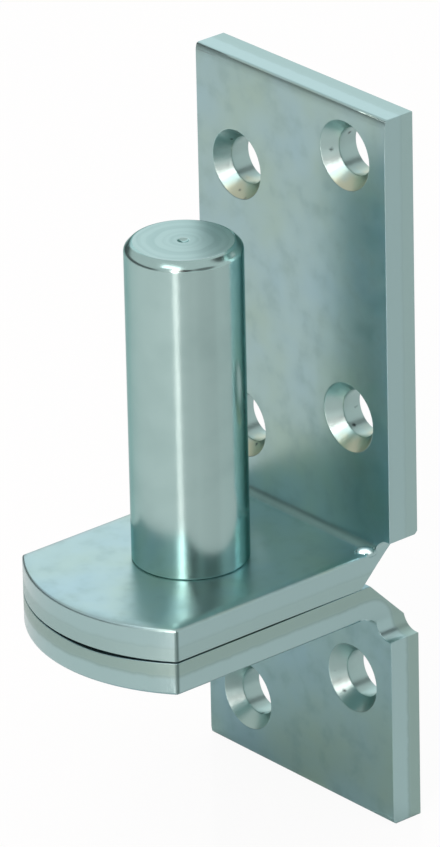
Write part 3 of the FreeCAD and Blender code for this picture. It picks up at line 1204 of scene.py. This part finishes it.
@dataclass(frozen=True)
class RoomGap:
    """Dark gap in the white room.

    Angles in degrees: it has its full darkness inside the inner one and ends at the outer one.
    """

    direction: Point
    inner: float
    outer: float
    level: float


@dataclass(frozen=True)
class WhiteRoom:
    """Even white light all round, but for dark gaps between the walls and a dark skirting along the left one."""

    name: str = "white_room"
    level: float = 0.85
    colour: str = "#FFF6F4"
    backdrop_colour: str = "#FDFDFD"
    gaps: tuple[RoomGap, ...] = (
        RoomGap((0.69, -0.59, 0.42), 12.0, 18.0, 0.0),
        RoomGap((0.9, 0.0, 0.42), 14.0, 24.0, 0.3),
        RoomGap((0.3, 0.59, 0.75), 8.0, 14.0, 0.1),
    )
    skirting_level: float = 0.18
    skirting_height: float = 0.1
    skirting_span: Pair = (0.12, 0.28)
    skirting_side: Point = (-0.87, -0.5, 0.0)
    skirting_ends: Pair = (0.7, 0.4)

    def light(self) -> None:
        """Make the room the scene's world."""
        world = bpy.data.worlds.new(self.name)
        world.use_nodes = True
        tree = world.node_tree
        tree.nodes.clear()
        add = partial(add_node, tree)
        direction = add("ShaderNodeTexCoord").outputs["Generated"]
        level: Any = self.level
        for gap in self.gaps:
            nearness = add("ShaderNodeVectorMath", {
                0: direction, 1: Vector(gap.direction).normalized(),
            }, operation="DOT_PRODUCT")
            share = add("ShaderNodeMapRange", {
                "Value": nearness.outputs["Value"], TO: (1.0, gap.level),
                FROM: [math.cos(math.radians(angle)) for angle in (gap.outer, gap.inner)],
            }, interpolation_type="SMOOTHSTEP")
            level = add("ShaderNodeMath", {0: level, 1: share.outputs[0]}, operation="MULTIPLY").outputs[0]
        # The left wall ends above the floor, so a dark band runs along the horizon there
        height = add("ShaderNodeSeparateXYZ", {0: direction}).outputs["Z"]
        off_band = add("ShaderNodeMath", {0: height, 1: self.skirting_height}, operation="SUBTRACT")
        off_band = add("ShaderNodeMath", {0: off_band.outputs[0]}, operation="ABSOLUTE")
        band = add("ShaderNodeMapRange", {
            "Value": off_band.outputs[0], FROM: self.skirting_span, "To Min": self.skirting_level,
        }, interpolation_type="SMOOTHSTEP")
        beside = add("ShaderNodeVectorMath", {0: direction, 1: self.skirting_side}, operation="DOT_PRODUCT")
        aside = add("ShaderNodeMapRange", {
            "Value": beside.outputs["Value"], FROM: self.skirting_ends,
        }, interpolation_type="SMOOTHSTEP")
        wall = add("ShaderNodeMath", {0: band.outputs[0], 1: aside.outputs[0]}, operation="MAXIMUM")
        level = add("ShaderNodeMath", {0: level, 1: wall.outputs[0]}, operation="MULTIPLY").outputs[0]
        room = add("ShaderNodeBackground", {"Color": linear(self.colour), "Strength": level})
        backdrop = add("ShaderNodeBackground", {"Color": linear(self.backdrop_colour), "Strength": 1.0})
        seen = add("ShaderNodeLightPath").outputs["Is Camera Ray"]
        mix = add("ShaderNodeMixShader", {0: seen, 1: room.outputs[0], 2: backdrop.outputs[0]})
        add("ShaderNodeOutputWorld", {"Surface": mix.outputs[0]})
        bpy.context.scene.world = world


@dataclass(frozen=True)
class Studio:
    """Plain studio: a pale floor under the object, a white room and three soft panels. Lengths in metres."""

    floor_level: float = -0.0402
    floor_size: float = 0.8
    panels: tuple[SoftPanel, ...] = (
        SoftPanel("strip_panel", -57.0, 22.0, 0.9, 0.13, 0.85, 10.5, "#FFDEDA"),
        SoftPanel("top_panel", -74.0, 58.0, 0.9, 0.42, 0.2, 2.5, "#FFF4F2"),
        SoftPanel("sky_panel", 140.0, 28.0, 1.2, 1.4, 0.75, 0.45, "#EEF8FF"),
    )

    def build(self) -> None:
        """Set the view, lay the floor and light the room."""
        bpy.context.scene.view_settings.view_transform = "Standard"
        self.lay_floor()
        WhiteRoom().light()
        for panel in self.panels:
            panel.hang()

    def lay_floor(self) -> None:
        bpy.ops.object.select_all(action="DESELECT")
        bpy.ops.mesh.primitive_plane_add(size=self.floor_size, location=(0, 0, self.floor_level))
        floor = settle(bpy.context.object)
        floor.name = floor.data.name = "studio_floor"
        floor.data.materials.append(PaleLaminate().make())


def present(piece: bpy.types.Object, node: str) -> None:
    """Let a finished piece stand for its CAD node, and report it.

    Args:
        piece: Finished piece.
        node: CAD node that it replaces.
    """
    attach(piece, "root")
    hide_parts(node)
    logger.info("%s: %d faces, stands for %s", piece.name, len(piece.data.polygons), node)


def main() -> None:
    """Build the studio and the three pieces in order."""
    logging.basicConfig(level=logging.INFO, format="%(name)s: %(message)s")
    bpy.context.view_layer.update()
    PhotoCamera().place()
    Studio().build()
    upper = AnglePlate(
        "upper_bent_plate", "upper_angle_plate", height=63.3, shoulder=2.0, flat_leg=7.45,
        holes=((11, 56), (-11, 48), (11, 18), (-11, 10)), burr=PressBurr(),
    )
    lower = AnglePlate(
        "lower_bent_plate", "lower_angle_plate", height=30.2, shoulder=2.75, flat_leg=5.9,
        holes=((-11, 10.8), (11, 21.5)), turned_over=True, front_gap=0.28,
    )
    faces = {
        upper.name: RolledZinc(f"Zinc on hot-rolled sheet, {upper.name}", upper.setback, upper.thickness),
        # The lower plate has the same zinc in darker colours: painted shade, as it stands lower and gets less light
        lower.name: RolledZinc(
            f"Zinc on hot-rolled sheet, {lower.name}", lower.setback, lower.thickness,
            colour="#8CB2B3", blue_colour="#8AB1B8", green_colour="#8FB2AA", stain_colour="#789C9B", roughness=0.38,
        ),
    }
    tints = {upper.name: ("#B6C2AC", "#A0C2C1", 0.25), lower.name: ("#A0BFBA", "#97B7B2", 0.6)}
    for plate in (upper, lower):
        piece = plate.build()
        plate.dress(piece, faces[plate.name], *tints[plate.name])
        present(piece, plate.node)
    pin = HingePin()
    piece = pin.build()
    piece.data.materials.append(TurnedZinc(pin.height).make())
    present(piece, pin.node)


if __name__ == "__main__":
    main()
